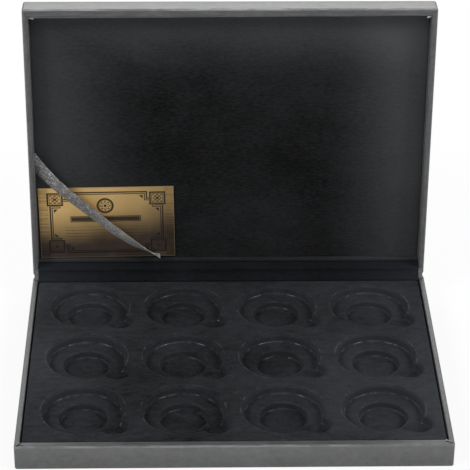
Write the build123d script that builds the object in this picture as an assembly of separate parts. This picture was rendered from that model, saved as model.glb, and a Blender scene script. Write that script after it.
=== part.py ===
"""Hinged coin display case: a wrapped board base with a formed coin tray, and a lined lid with a card pocket.

Units are millimetres. The origin is at the centre of the base's underside, +X is to the right,
+Y runs from the front edge to the hinge, and +Z is up. The lid is modelled shut, in its place
over the base, and then swung open about the hinge line, which is how the case is stored here.
"""
from build123d import *
import math
import os

# ---- overall sizes -------------------------------------------------------------------------
case_width = 250.0           # outside, left to right
case_depth = 183.5           # outside, front to back
base_height = 15.6           # underside to the base's rim
lid_height = 13.6            # lid's rim to its outer face
parting_gap = 0.8            # between the two rims when the case is shut
open_angle = 91.8            # how far the lid is swung back from shut, in degrees

# ---- boards and wrap -----------------------------------------------------------------------
wrap_thickness = 0.6         # leatherette over the boards
side_board = 1.9             # left and right wall boards
end_board = 3.5              # front and back wall boards
bottom_board = 2.8           # base panel
lid_board = 1.8              # lid panel
corner_radius = 1.6          # upright outer corners, over the wrap
rim_radius = 1.0             # outer edge of both rims
inner_rim_radius = 0.35      # inner edge of both rims
base_edge_radius = 0.5       # round the base's underside
lid_edge_radius = 2.0        # round the lid's outer face

# ---- underside -----------------------------------------------------------------------------
foot_sheet_thickness = 0.25  # below the wrap's turned-in flange
foot_sheet_margin = 4.0      # from the case's outside to the sheet's edge
wrap_flange = 12.0           # how far the wrap is turned in under the base

# ---- coin tray -----------------------------------------------------------------------------
tray_sheet = 0.8             # flocked sheet it is formed from
tray_drop = 0.55             # its top below the base's rim
tray_side_gap = 0.8          # to the side walls
tray_front_gap = 0.8         # to the front wall
tray_back_gap = 0.2          # to the hinge lining on the back wall
tray_edge_radius = 1.2       # where its top turns down into the skirt
column_pitch = 58.2          # as many columns and rows as the tray takes at these pitches
row_pitch = 55.5
row_shift = 0.8              # centre of the rows behind the tray's middle
seat_border = 3.5            # least flat between a seat's mouth and the tray's edge
seat_radius = 23.5           # takes a 46 mm coin capsule
seat_depth = 5.8             # tray's top to the ledge that the capsule rests on
seat_lip_radius = 1.8        # rounded mouth of each seat
well_radius = 14.25          # inner well below the ledge
notch_radius = 8.5           # finger notch at the seat's front right
notch_reach = 8.8            # how far the notch goes past the seat's wall
notch_angle = -39.0          # its direction from the seat's centre, in degrees from +X
notch_step = 2.4             # its floor below the ledge

# ---- lid lining ----------------------------------------------------------------------------
lining_board = 0.6           # stiffener glued into the lid
lining_pad = 0.8             # padded velvet on its face
lining_gap = 0.3             # round the lining's edge
ledge_height = 2.8           # velvet ledge along the hinge side, which the card stands on
ledge_thickness = 2.3
ledge_gap = 0.1              # between the ledge and the hinge lining
ledge_edge_radius = 0.75     # along the ledge's rolled front

# ---- card and ribbon -----------------------------------------------------------------------
card_width = 85.6
card_height = 50.0
card_thickness = 0.6
card_tilt = 0.9              # right end raised, in degrees
card_side_gap = 2.0          # left end to the lid's side wall
card_rest_gap = 0.3          # lower left corner above the ledge
card_back_gap = 0.3          # behind the card
ribbon_width = 8.0
ribbon_thickness = 0.4
ribbon_card_gap = 0.4        # between the ribbon and the card's face
ribbon_wall_height = 76.0    # ribbon's middle at the side wall, from the hinge edge
ribbon_foot = 73.0           # ribbon's middle at the ledge, from the side wall

# ---- hinges --------------------------------------------------------------------------------
hinge_inset = 45.0           # from the case's side to the hinge's middle
hinge_length = 28.0
leaf_width = 4.2             # from the pin's axis to the leaf's free edge
leaf_thickness = 0.6
barrel_radius = 1.0
pin_radius = 0.5
pin_clearance = 0.05         # in the lid's knuckle, which turns on the pin
knuckle_gap = 0.2            # between neighbouring knuckles
lid_knuckle = 11.6           # length of the middle knuckle
barrel_clearance = 0.3       # round the barrel, in the boards and the wrap
leaf_clearance = 0.1         # round the leaf, in the wrap
screw_spread = 18.0          # between a leaf's two screws
screw_radius = 0.6
screw_length = 6.0
screw_head_radius = 1.0

# ---- hinge lining --------------------------------------------------------------------------
lining_strip = 0.3           # fabric thickness
lining_glue = 0.1            # between the fabric and the lid, all the way round
lining_strip_end_gap = 0.2   # to the side walls
lining_tuck = 6.0            # how far it goes down behind the tray
lining_cove_radius = 4.0     # where it bridges the hinge line

# ---- places that follow from the sizes ------------------------------------------------------
half_width = case_width / 2
half_depth = case_depth / 2
side_wall = side_board + 2 * wrap_thickness
end_wall = end_board + 2 * wrap_thickness
inner_half_width = half_width - side_wall
inner_half_depth = half_depth - end_wall
board_radius = corner_radius - wrap_thickness

floor_z = foot_sheet_thickness + wrap_thickness + bottom_board
hinge_y = half_depth
hinge_z = base_height + parting_gap / 2
lid_rim_z = hinge_z + parting_gap / 2
hinge_line = Axis((0, hinge_y, hinge_z), (1, 0, 0))
hinge_centres = [hinge_inset - half_width, half_width - hinge_inset]

tray_top = base_height - tray_drop
tray_half_width = inner_half_width - tray_side_gap
tray_front = -inner_half_depth + tray_front_gap
tray_back = inner_half_depth - lining_strip - tray_back_gap
ledge_z = tray_top - seat_depth
well_floor = floor_z + tray_sheet
notch_floor = ledge_z - notch_step
seat_middle_y = (tray_front + tray_back) / 2 + row_shift
notch_centre = seat_radius + notch_reach - notch_radius
notch_x = notch_centre * math.cos(math.radians(notch_angle))
notch_y = notch_centre * math.sin(math.radians(notch_angle))
mouth_x = max(seat_radius, abs(notch_x) + notch_radius) + seat_lip_radius
mouth_y = max(seat_radius, abs(notch_y) + notch_radius) + seat_lip_radius + abs(row_shift)
seat_columns = int(2 * (tray_half_width - mouth_x - seat_border) // column_pitch) + 1
seat_rows = int((tray_back - tray_front - 2 * (mouth_y + seat_border)) // row_pitch) + 1

cavity_depth = lid_height - wrap_thickness - lid_board - lining_board - lining_pad
ledge_foot = end_wall + lining_glue + lining_strip + ledge_gap
ledge_top = ledge_foot + ledge_height
card_back_depth = cavity_depth - card_back_gap
card_face_depth = card_back_depth - card_thickness
ribbon_back_depth = card_face_depth - ribbon_card_gap


# ---- helpers -------------------------------------------------------------------------------
def block(x, y, z):
    """A box between two limits on each axis."""
    middle = [(low + high) / 2 for low, high in (x, y, z)]
    size = [high - low for low, high in (x, y, z)]
    return Pos(*middle) * Box(*size)


def rod(x, y, z, radius):
    """A round bar along X between two limits, centred on y and z."""
    length = x[1] - x[0]
    return Pos((x[0] + x[1]) / 2, y, z) * Rot(0, 90, 0) * Cylinder(radius, length)


def post(x, y, z, radius):
    """A round bar along Z between two limits, centred on x and y."""
    return Pos(x, y, (z[0] + z[1]) / 2) * Cylinder(radius, z[1] - z[0])


def turned_over(shape):
    """A half that stands on its face, turned over into the lid's shut place."""
    return Pos(0, 0, lid_rim_z + lid_height) * Rot(180, 0, 0) * shape


def swung_open(shape):
    """A piece of the shut lid, carried to the open place."""
    return shape.rotate(hinge_line, -open_angle)


def seat_places():
    """Centres of the coin seats, front row first, each row from left to right."""
    for row in range(seat_rows):
        for column in range(seat_columns):
            x = (column - (seat_columns - 1) / 2) * column_pitch
            y = seat_middle_y + (row - (seat_rows - 1) / 2) * row_pitch
            yield x, y


# ---- one half of the case: boards and wrap, standing on its outer face ------------------------
def panel(bottom, thickness, edge_radius):
    """The flat board, rounded at its corners and, on the lid, round its outer face."""
    width = half_width - wrap_thickness
    depth = half_depth - wrap_thickness
    board = block((-width, width), (-depth, depth), (bottom, bottom + thickness))
    board = fillet(board.edges().filter_by(Axis.Z), board_radius)
    if edge_radius > 0:
        board = fillet(board.edges().group_by(Axis.Z)[0], edge_radius)
    return board


def side_wall_board(side, bottom, top):
    """A side wall over the full depth; side is -1 for left and 1 for right."""
    outer = half_width - wrap_thickness
    inner = outer - side_board
    depth = half_depth - wrap_thickness
    x = sorted((side * outer, side * inner))
    board = block(x, (-depth, depth), (bottom, top))
    outer_edges = board.edges().filter_by(Axis.Z).group_by(Axis.X)[0 if side < 0 else -1]
    return fillet(outer_edges, board_radius)


def end_wall_board(end, bottom, top):
    """A front or back wall between the side walls; end is -1 for front and 1 for back."""
    outer = half_depth - wrap_thickness
    width = half_width - wrap_thickness - side_board
    y = sorted((end * outer, end * (outer - end_board)))
    return block((-width, width), y, (bottom, top))


def wrap(bottom, height, face_radius, boards, cavity_floor):
    """The leatherette: the half's outside form less its boards and the space inside."""
    skin = block((-half_width, half_width), (-half_depth, half_depth), (bottom, height))
    skin = fillet(skin.edges().filter_by(Axis.Z), corner_radius)
    skin = fillet(skin.edges().group_by(Axis.Z)[0], face_radius)
    skin = fillet(skin.edges().group_by(Axis.Z)[-1], rim_radius)
    skin -= block(
        (-inner_half_width, inner_half_width),
        (-inner_half_depth, inner_half_depth),
        (cavity_floor, height + wrap_thickness),
    )
    mouth = skin.faces().sort_by(Axis.Z)[-1].inner_wires()[0]
    skin = fillet(mouth.edges(), inner_rim_radius)
    for board in boards:
        skin -= board
    return skin


def half_boards(bottom, panel_thickness, panel_radius, height):
    """Panel and four wall boards of one half, as a dictionary."""
    walls_foot = bottom + panel_thickness
    walls_top = height - wrap_thickness
    return {
        "panel": panel(bottom, panel_thickness, panel_radius),
        "front": end_wall_board(-1, walls_foot, walls_top),
        "back": end_wall_board(1, walls_foot, walls_top),
        "left": side_wall_board(-1, walls_foot, walls_top),
        "right": side_wall_board(1, walls_foot, walls_top),
    }


# ---- hinges --------------------------------------------------------------------------------
def leaf_plate(centre, z, side_gap):
    """The flat of a leaf, from its free edge to the pin's axis."""
    half = hinge_length / 2 + side_gap
    return block((centre - half, centre + half), (hinge_y - leaf_width - side_gap, hinge_y), z)


def knuckle_spans(centre, of_lid):
    """X limits of one leaf's knuckles: two at the ends for the base, one in the middle for the lid."""
    middle = lid_knuckle / 2
    end = hinge_length / 2
    if of_lid:
        return [(centre - middle, centre + middle)]
    start = middle + knuckle_gap
    return [(centre - end, centre - start), (centre + start, centre + end)]


def screw_places(centre):
    """Centres of a leaf's two screws."""
    middle = hinge_y - (leaf_width + barrel_radius) / 2
    return [(centre - screw_spread / 2, middle), (centre + screw_spread / 2, middle)]


def screw(x, y, head_z, direction):
    """A countersunk screw, its head flush at head_z and its shank going up (1) or down (-1)."""
    head_depth = screw_head_radius - screw_radius
    tip = head_z + direction * screw_length
    shank = post(x, y, sorted((head_z, tip)), screw_radius)
    low_radius, high_radius = (screw_head_radius, screw_radius)[::direction]
    cone = Cone(low_radius, high_radius, head_depth)
    return shank + Pos(x, y, head_z + direction * head_depth / 2) * cone


def leaf_screws(of_lid):
    """All the screws of the base leaves or of the lid leaves, one solid for each screw."""
    head_z = lid_rim_z if of_lid else base_height
    direction = 1 if of_lid else -1
    return [
        screw(x, y, head_z, direction)
        for centre in hinge_centres
        for x, y in screw_places(centre)
    ]


def leaf(centre, of_lid):
    """A leaf with its knuckles, bored for the pin and countersunk for its screws."""
    if of_lid:
        z = (lid_rim_z, lid_rim_z + leaf_thickness)
        bore = pin_radius + pin_clearance
    else:
        z = (base_height - leaf_thickness, base_height)
        bore = pin_radius
    body = leaf_plate(centre, z, 0)
    for span in knuckle_spans(centre, not of_lid):
        room = (span[0] - knuckle_gap, span[1] + knuckle_gap)
        body -= rod(room, hinge_y, hinge_z, barrel_radius + knuckle_gap)
    for span in knuckle_spans(centre, of_lid):
        body += rod(span, hinge_y, hinge_z, barrel_radius)
    body -= rod((centre - hinge_length, centre + hinge_length), hinge_y, hinge_z, bore)
    for one in leaf_screws(of_lid):
        body -= one
    return body


def hinge_pin(centre):
    """The pin, pressed into the base's knuckles."""
    half = hinge_length / 2
    return rod((centre - half, centre + half), hinge_y, hinge_z, pin_radius)


def cut_for_hinges(shape, of_lid):
    """Room in a board or a wrap for the leaves, the barrels and the screws."""
    z = (lid_rim_z, lid_rim_z + leaf_thickness) if of_lid else (base_height - leaf_thickness, base_height)
    for centre in hinge_centres:
        half = hinge_length / 2 + barrel_clearance
        shape -= leaf_plate(centre, z, leaf_clearance)
        shape -= rod((centre - half, centre + half), hinge_y, hinge_z, barrel_radius + barrel_clearance)
    for one in leaf_screws(of_lid):
        shape -= one
    return shape


def hinge_lining():
    """Fabric over both back rims: tucked down behind the tray and glued up into the lid."""
    mid = lining_strip / 2
    lid_mid = lining_glue + mid

    def in_lid(height, depth):
        """A point of the open lid, by its distance from the hinge edge and from the rim."""
        shut = Vector(0, hinge_y - height, lid_rim_z + depth)
        return Vertex(*shut).rotate(hinge_line, -open_angle).center()

    rim_low = in_lid(0, -lid_mid)
    rim_high = in_lid(end_wall + lid_mid, -lid_mid)
    rise = (rim_high - rim_low).normalized()
    base_top = base_height + mid
    corner = rim_low + rise * ((base_top - rim_low.Z) / rise.Z)
    points = [
        (inner_half_depth - mid, base_height - lining_tuck),
        (inner_half_depth - mid, base_top),
        (corner.Y, corner.Z),
        (rim_high.Y, rim_high.Z),
    ]
    end = in_lid(end_wall + lid_mid, cavity_depth - lid_mid)
    points.append((end.Y, end.Z))
    radii = [inner_rim_radius + mid, lining_cove_radius, inner_rim_radius + lid_mid]
    path = FilletPolyline(*points, radius=radii)
    strip = make_face(offset(path, mid, side=Side.BOTH))
    half = inner_half_width - lining_strip_end_gap
    across = Plane(origin=(-half, 0, 0), x_dir=(0, 1, 0), z_dir=(1, 0, 0))
    return extrude(across * strip, 2 * half)


# ---- coin tray -----------------------------------------------------------------------------
def tray_form(inset, top, seat_grow, radius_edge, radius_lip):
    """The tray's block with its seats, wells and notches sunk in it, down from top.

    The formed sheet is what lies between this form at inset 0 and the same form drawn in by
    the sheet's thickness, with every hollow grown by as much.
    """
    form = block(
        (-tray_half_width + inset, tray_half_width - inset),
        (tray_front + inset, tray_back - inset),
        (floor_z, top),
    )
    if radius_edge > 0:
        form = fillet(form.edges().filter_by(Axis.Z) + form.edges().group_by(Axis.Z)[-1], radius_edge)
    above = top + seat_depth
    for x, y in seat_places():
        seat = post(x, y, (ledge_z - seat_grow, above), seat_radius + seat_grow)
        notch_z = (notch_floor - seat_grow, above)
        notch = post(x + notch_x, y + notch_y, notch_z, notch_radius + seat_grow)
        well = post(x, y, (well_floor - seat_grow, above), well_radius + seat_grow)
        form -= seat + notch + well
    if radius_lip > 0:
        mouth = form.faces().sort_by(Axis.Z)[-1].inner_wires()
        form = fillet([edge for wire in mouth for edge in wire.edges()], radius_lip)
    return form


def coin_tray():
    """The flocked, vacuum-formed tray: a thin sheet with a skirt, resting on the base's board."""
    outside = tray_form(0, tray_top, 0, tray_edge_radius, seat_lip_radius)
    inside = tray_form(tray_sheet, tray_top - tray_sheet, tray_sheet, 0, 0)
    return outside - inside


# ---- base ----------------------------------------------------------------------------------
def foot_sheet():
    """Underside sheet: it fills the window in the wrap's flange and laps over the flange."""
    lap_x = half_width - foot_sheet_margin
    lap_y = half_depth - foot_sheet_margin
    window_x = half_width - wrap_flange
    window_y = half_depth - wrap_flange
    fill_top = foot_sheet_thickness + wrap_thickness
    lap = block((-lap_x, lap_x), (-lap_y, lap_y), (0, foot_sheet_thickness))
    fill = block((-window_x, window_x), (-window_y, window_y), (foot_sheet_thickness, fill_top))
    return lap + fill


def base_pieces():
    """Every piece of the base but the hinge's own."""
    bottom = foot_sheet_thickness + wrap_thickness
    boards = half_boards(bottom, bottom_board, 0, base_height)
    skin = wrap(foot_sheet_thickness, base_height, base_edge_radius, boards.values(), floor_z)
    sheet = foot_sheet()
    boards["back"] = cut_for_hinges(boards["back"], False)
    return {
        "base_bottom_board": boards["panel"],
        "base_front_wall": boards["front"],
        "base_back_wall": boards["back"],
        "base_left_wall": boards["left"],
        "base_right_wall": boards["right"],
        "base_wrap": cut_for_hinges(skin - sheet, False),
        "base_foot_sheet": sheet,
        "coin_tray": coin_tray(),
    }


# ---- lid, modelled shut --------------------------------------------------------------------
def lid_place(x, height, depth):
    """A block of the lid by x, by height from the hinge edge and by depth from the rim."""
    y = (hinge_y - height[1], hinge_y - height[0])
    z = (lid_rim_z + depth[0], lid_rim_z + depth[1])
    return block(x, y, z)


def lining_panel(depth):
    """A sheet that covers the inside of the lid's panel, between two depths."""
    x = inner_half_width - lining_gap
    return lid_place((-x, x), (end_wall + lining_gap, case_depth - end_wall - lining_gap), depth)


def lid_lining():
    """Stiffener board, padded velvet on it, and the ledge along the hinge side."""
    board_face = cavity_depth + lining_pad
    x = inner_half_width - lining_gap
    ledge = lid_place(
        (-x, x), (ledge_foot, ledge_top), (cavity_depth - ledge_thickness, cavity_depth)
    )
    front_edges = ledge.edges().filter_by(Axis.X).group_by(Axis.Z)[0]
    return {
        "lid_lining_board": lining_panel((board_face, board_face + lining_board)),
        "lid_lining_pad": lining_panel((cavity_depth, board_face)),
        "card_ledge": fillet(front_edges, ledge_edge_radius),
    }


def card_ribbon():
    """The satin ribbon that crosses the lid's corner, from the side wall to the ledge."""
    run = math.hypot(ribbon_foot, ribbon_wall_height - ledge_top)
    slope = math.degrees(math.atan2(ribbon_wall_height - ledge_top, ribbon_foot))
    depth = (ribbon_back_depth - ribbon_thickness, ribbon_back_depth)
    z = (lid_rim_z + depth[0], lid_rim_z + depth[1])
    band = block((-run, run), (-ribbon_width / 2, ribbon_width / 2), z)
    middle_x = -inner_half_width + ribbon_foot / 2
    middle_y = hinge_y - (ribbon_wall_height + ledge_top) / 2
    band = Pos(middle_x, middle_y, 0) * Rot(0, 0, slope) * band
    corner = lid_place((-inner_half_width, half_width), (ledge_top, case_depth), depth)
    return band & corner


def certificate_card():
    """The card, standing on the ledge behind the ribbon, with its right end a little raised."""
    card = block(
        (0, card_width),
        (-card_height, 0),
        (lid_rim_z + card_face_depth, lid_rim_z + card_back_depth),
    )
    corner_x = -inner_half_width + card_side_gap
    corner_y = hinge_y - ledge_top - card_rest_gap
    return Pos(corner_x, corner_y, 0) * Rot(0, 0, -card_tilt) * card


def lid_pieces():
    """Every piece of the lid but the hinge's own, in the lid's shut place."""
    boards = half_boards(wrap_thickness, lid_board, lid_edge_radius - wrap_thickness, lid_height)
    panel_top = wrap_thickness + lid_board
    skin = wrap(0, lid_height, lid_edge_radius, boards.values(), panel_top)
    # turning over swaps the two ends, so the board built as the front wall becomes the back wall
    named = {
        "lid_panel_board": boards["panel"],
        "lid_front_wall": boards["back"],
        "lid_back_wall": boards["front"],
        "lid_left_wall": boards["left"],
        "lid_right_wall": boards["right"],
        "lid_wrap": skin,
    }
    pieces = {name: turned_over(shape) for name, shape in named.items()}
    for name in ("lid_back_wall", "lid_wrap"):
        pieces[name] = cut_for_hinges(pieces[name], True)
    pieces.update(lid_lining())
    pieces["card_ribbon"] = card_ribbon()
    pieces["certificate_card"] = certificate_card()
    return pieces


# ---- the whole case ------------------------------------------------------------------------
def hinge_pieces():
    """Leaves, pins and screws: those that stay with the base, and those that swing with the lid."""
    fixed = {"hinge_base_screws": Compound(leaf_screws(False))}
    swinging = {"hinge_lid_screws": Compound(leaf_screws(True))}
    for side, centre in zip(("left", "right"), hinge_centres):
        fixed[f"hinge_base_leaf_{side}"] = leaf(centre, False)
        fixed[f"hinge_pin_{side}"] = hinge_pin(centre)
        swinging[f"hinge_lid_leaf_{side}"] = leaf(centre, True)
    return fixed, swinging


def all_pieces():
    """Every node of the case, by name, with the lid open."""
    fixed, swinging = hinge_pieces()
    pieces = base_pieces()
    pieces.update(fixed)
    pieces["hinge_lining"] = hinge_lining()
    swinging.update(lid_pieces())
    pieces.update({name: swung_open(shape) for name, shape in swinging.items()})
    return pieces


os.makedirs("parts", exist_ok=True)
for node, solid in all_pieces().items():
    export_step(solid, f"parts/{node}.step")
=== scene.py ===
"""Hinged coin display case: the materials, soft pieces, floor, light and camera round its fixed frame."""
import math

import bpy
from mathutils import Matrix, Vector


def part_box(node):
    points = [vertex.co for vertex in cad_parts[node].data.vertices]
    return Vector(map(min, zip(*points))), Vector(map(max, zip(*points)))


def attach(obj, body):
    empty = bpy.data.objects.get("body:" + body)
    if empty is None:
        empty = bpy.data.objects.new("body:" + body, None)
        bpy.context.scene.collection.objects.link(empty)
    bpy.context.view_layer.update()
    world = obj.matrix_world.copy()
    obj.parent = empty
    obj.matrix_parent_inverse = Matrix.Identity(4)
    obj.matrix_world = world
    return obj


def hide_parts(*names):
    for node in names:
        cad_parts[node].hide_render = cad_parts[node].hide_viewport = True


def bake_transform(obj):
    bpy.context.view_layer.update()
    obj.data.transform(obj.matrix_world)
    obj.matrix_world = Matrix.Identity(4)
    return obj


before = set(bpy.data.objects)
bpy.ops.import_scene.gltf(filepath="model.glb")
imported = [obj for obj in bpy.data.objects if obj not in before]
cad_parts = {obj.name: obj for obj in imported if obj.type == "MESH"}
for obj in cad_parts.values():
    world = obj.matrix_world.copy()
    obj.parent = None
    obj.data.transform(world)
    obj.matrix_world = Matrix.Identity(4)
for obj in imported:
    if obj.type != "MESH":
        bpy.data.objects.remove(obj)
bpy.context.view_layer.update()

bpy.ops.object.select_all(action="DESELECT")
mm = 0.001

# ---- base ------------------------------------------------------------------------------------
# Five greyboard panels glued into a shallow box and covered in one sheet of black leatherette,
# a printed and pressed paper whose grain is a fine pebble. It is painted paler where it bends over
# the outer rim edge, partly rubbed wear and partly painted highlight. Its faces are painted lighter
# near the rim and darker lower down, and its rim faces darker, as painted light and shade.


class Socket:
    """An output in a material's tree. Python's own sums on it add Math nodes."""

    def __init__(self, finish, output):
        self.finish, self.output = finish, output

    def sum(self, operation, *values):
        ports = dict(enumerate(values))
        return self.finish.node("ShaderNodeMath", {"operation": operation}, ports)

    def __add__(self, other): return self.sum("ADD", self, other)
    def __radd__(self, other): return self.sum("ADD", other, self)
    def __sub__(self, other): return self.sum("SUBTRACT", self, other)
    def __rsub__(self, other): return self.sum("SUBTRACT", other, self)
    def __mul__(self, other): return self.sum("MULTIPLY", self, other)
    def __rmul__(self, other): return self.sum("MULTIPLY", other, self)
    def __abs__(self): return self.sum("ABSOLUTE", self)
    def root(self): return self.sum("SQRT", self)
    def within(self, half): return self.sum("WRAP", self, half, -half)
    def least(self, other): return self.sum("MINIMUM", self, other)
    def most(self, other): return self.sum("MAXIMUM", self, other)

    def ramp(self, start, end, low=0.0, high=1.0):
        """low before start, high after end, and a smooth rise between them."""
        ports = {"Value": self, "From Min": start, "From Max": end, "To Min": low, "To Max": high}
        return self.finish.node("ShaderNodeMapRange", {"interpolation_type": "SMOOTHSTEP"}, ports)


class Finish:
    """A material with one Principled shader, and the places that its patterns read."""

    def __init__(self, name, **constants):
        self.material = bpy.data.materials.new(name)
        self.material.use_nodes = True
        self.tree = self.material.node_tree
        self.shader = self.tree.nodes["Principled BSDF"]
        for port, value in constants.items():
            self.shader.inputs[port.replace("_", " ").title().replace("Ior", "IOR")].default_value = value

    def node(self, kind, settings, ports, output=0):
        """Any node: its settings first, then the values or links of its sockets."""
        made = self.tree.nodes.new(kind)
        for name, value in settings.items():
            setattr(made, name, value)
        for port, value in ports.items():
            if isinstance(value, Socket):
                self.tree.links.new(value.output, made.inputs[port])
            else:
                made.inputs[port].default_value = value
        return Socket(self, made.outputs[output])

    def place(self, turn=0.0, centre=(0, 0, 0)):
        """Object coordinates from a centre, turned about X."""
        point = self.node("ShaderNodeTexCoord", {}, {}, "Object")
        return self.node("ShaderNodeMapping", {"vector_type": "TEXTURE"},
                         {"Vector": point, "Location": centre, "Rotation": (turn, 0, 0)})

    def axes(self, vector):
        """The x, y and z of a vector."""
        split = self.tree.nodes.new("ShaderNodeSeparateXYZ")
        self.tree.links.new(vector.output, split.inputs[0])
        return [Socket(self, port) for port in split.outputs]

    def stretched(self, vector, scale):
        """A vector with each axis multiplied, for grain that runs one way."""
        return self.node("ShaderNodeVectorMath", {"operation": "MULTIPLY"}, {0: vector, 1: scale})

    def noise(self, vector, size, detail=2.0, roughness=0.5):
        """Cloudy noise, 0 to 1, with blotches of about the given size in metres."""
        ports = {"Vector": vector, "Scale": 1 / size, "Detail": detail, "Roughness": roughness}
        return self.node("ShaderNodeTexNoise", {}, ports)

    def cells(self, vector, size, feature="F1"):
        """Distance to the nearest of scattered points that lie about size metres apart."""
        return self.node("ShaderNodeTexVoronoi", {"feature": feature}, {"Vector": vector, "Scale": 1 / size})

    def mix(self, share, first, second):
        """A colour between two colours."""
        return self.node("ShaderNodeMix", {"data_type": "RGBA"}, {0: share, 6: first, 7: second}, 2)

    def bump(self, height, depth):
        """Relief of the given depth in metres."""
        return self.node("ShaderNodeBump", {}, {"Height": height, "Distance": depth})

    def feed(self, **sockets):
        """Links what varies to the shader."""
        for port, value in sockets.items():
            self.tree.links.new(value.output, self.shader.inputs[port.replace("_", " ").title()])
        return self.material


def grey(level, warmth=0.0):
    """A near-neutral colour; a negative warmth is bluish."""
    return (level * (1 + 0.7 * warmth), level, level * (1 - 1.1 * warmth), 1.0)


def cover(pieces, material):
    """Gives every named frame piece one material."""
    for name in pieces:
        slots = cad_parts[name].data.materials
        slots.clear()
        slots.append(material)


case_half_width, case_half_depth = 125.0 * mm, 91.75 * mm


def leatherette(name, turn, centre, rim_z, rub_and_highlight):
    """The covering paper. turn and centre bring its half of the case back to lying flat."""
    skin = Finish(name, specular_ior_level=0.5, ior=1.5)
    point = skin.place(turn, centre)
    x, y, z = skin.axes(point)
    pebble = skin.cells(point, 0.62 * mm, "SMOOTH_F1")
    fibre = skin.noise(point, 0.22 * mm, 3.0, 0.6)
    cloud = skin.noise(point, 24 * mm, 3.0, 0.55)
    scuff = skin.noise(skin.stretched(point, (0.15, 1.0, 1.0)), 2.2 * mm, 4.0, 0.65)
    outer = (case_half_width - abs(x)).least(case_half_depth - abs(y))
    # painted highlight, partly rubbed wear: the outer rim edge is painted pale, broken up by scuffs,
    # stronger along the front and back edges and on the lid
    ridge = abs(z - rim_z).ramp(1.5 * mm, 0.5 * mm) * outer.ramp(1.4 * mm, 0.5 * mm)
    rubbed_and_highlit = ridge * (0.35 + 0.65 * scuff.ramp(0.42, 0.6))
    mottle = skin.noise(skin.stretched(point, (0.6, 1.0, 0.8)), 2.8 * mm, 4.0, 0.8)
    rim_face = abs(z - rim_z).ramp(0.5 * mm, 0.1 * mm)
    end_rim = ((case_half_width - abs(x)) - (case_half_depth - abs(y))).ramp(-0.3 * mm, 0.3 * mm)
    side_streak = skin.noise(skin.stretched(point, (1.0, 0.08, 1.0)), 1.3 * mm, 4.0, 0.75)
    end_streak = skin.noise(skin.stretched(point, (0.08, 1.0, 1.0)), 1.3 * mm, 4.0, 0.75)
    streak = (side_streak + end_rim * (end_streak - side_streak) - 0.5) * rim_face
    # painted light and shade: the faces are painted lighter near the rim and darker lower down
    painted_top_light = abs(z - rim_z).ramp(13 * mm, 2 * mm, -0.16, 0.14)
    tone = 0.15 * pebble + 0.35 * cloud + 0.15 * fibre + 1.1 * (mottle - 0.5) + 0.17 + painted_top_light + 1.6 * streak
    # painted shade: the rim faces are painted darker
    ground = skin.mix(tone - 0.45 * rim_face, grey(0.066, -0.02), grey(0.152, -0.02))
    worn_and_highlit = skin.mix(rubbed_and_highlit * (0.25 + 0.75 * end_rim) * rub_and_highlight, ground, grey(0.36, -0.01))
    relief = pebble * 0.6 + fibre * 0.2 + mottle * 0.4
    return skin.feed(
        base_color=worn_and_highlit,
        roughness=0.3 + 0.14 * scuff + 0.1 * pebble,
        normal=skin.bump(relief, 0.05 * mm),
    )


base_rim_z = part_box("base_wrap")[1].z
base_leatherette = leatherette("leatherette_base", 0.0, (0, 0, 0), base_rim_z, 0.4)
cover(["base_wrap"], base_leatherette)

greyboard = Finish("greyboard", roughness=0.9, specular_ior_level=0.2)
pulp = greyboard.place()
pressed = greyboard.noise(greyboard.stretched(pulp, (0.3, 0.6, 1.6)), 0.8 * mm, 5.0, 0.7)
speck = greyboard.noise(pulp, 0.35 * mm, 1.0).ramp(0.6, 0.72)
pulp_tone = greyboard.mix(pressed, (0.19, 0.17, 0.145, 1), (0.33, 0.30, 0.26, 1))
greyboard_material = greyboard.feed(
    base_color=greyboard.mix(speck * 0.5, pulp_tone, (0.12, 0.1, 0.08, 1)),
    normal=greyboard.bump(pressed, 0.12 * mm),
)
cover(
    ["base_bottom_board", "base_front_wall", "base_back_wall", "base_left_wall", "base_right_wall",
     "lid_panel_board", "lid_front_wall", "lid_back_wall", "lid_left_wall", "lid_right_wall",
     "lid_lining_board"],
    greyboard_material,
)

# ---- underside sheet ---------------------------------------------------------------------------
# A sheet of thin black felt glued under the base. It hides the leatherette's turned-in edges
# and keeps the case from scratching a table.
felt = Finish("underside_felt", roughness=0.95, specular_ior_level=0.15,
              sheen_weight=0.3, sheen_roughness=0.5)
felt_point = felt.place()
felt_fibre = felt.noise(felt.stretched(felt_point, (1.0, 0.45, 1.0)), 0.5 * mm, 5.0, 0.75)
felt_cloud = felt.noise(felt_point, 14 * mm, 2.0)
cover(["base_foot_sheet"], felt.feed(
    base_color=felt.mix(0.6 * felt_fibre + 0.4 * felt_cloud, grey(0.012), grey(0.042)),
    normal=felt.bump(felt_fibre, 0.25 * mm),
))

# ---- coin tray ---------------------------------------------------------------------------------
# One thin plastic sheet, drawn down over a mould into twelve round seats, each with an inner well
# and a finger notch, and sprayed with short black flock that softens every edge.
tray_low, tray_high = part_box("coin_tray")
tray_top = tray_high.z
column_pitch, row_pitch = 58.2 * mm, 55.5 * mm
seat_middle_y = (tray_low.y + tray_high.y) / 2 + 0.8 * mm
seat_radius, well_radius, notch_radius = 23.5 * mm, 14.25 * mm, 8.5 * mm
seat_lip, well_lip, sheet_thickness = 1.8 * mm, 0.8 * mm, 0.8 * mm
ledge_z = tray_top - 5.8 * mm
notch_floor = ledge_z - 2.4 * mm
well_floor = tray_low.z + sheet_thickness
notch_centre = seat_radius + 0.3 * mm
notch_angle = math.radians(-39)


def pick(piece, mode="OBJECT"):
    """Makes one piece the only selected and active one."""
    if bpy.context.object and bpy.context.object.mode != "OBJECT":
        bpy.ops.object.mode_set(mode="OBJECT")
    bpy.ops.object.select_all(action="DESELECT")
    piece.select_set(True)
    bpy.context.view_layer.objects.active = piece
    bpy.ops.object.mode_set(mode=mode)


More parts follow.
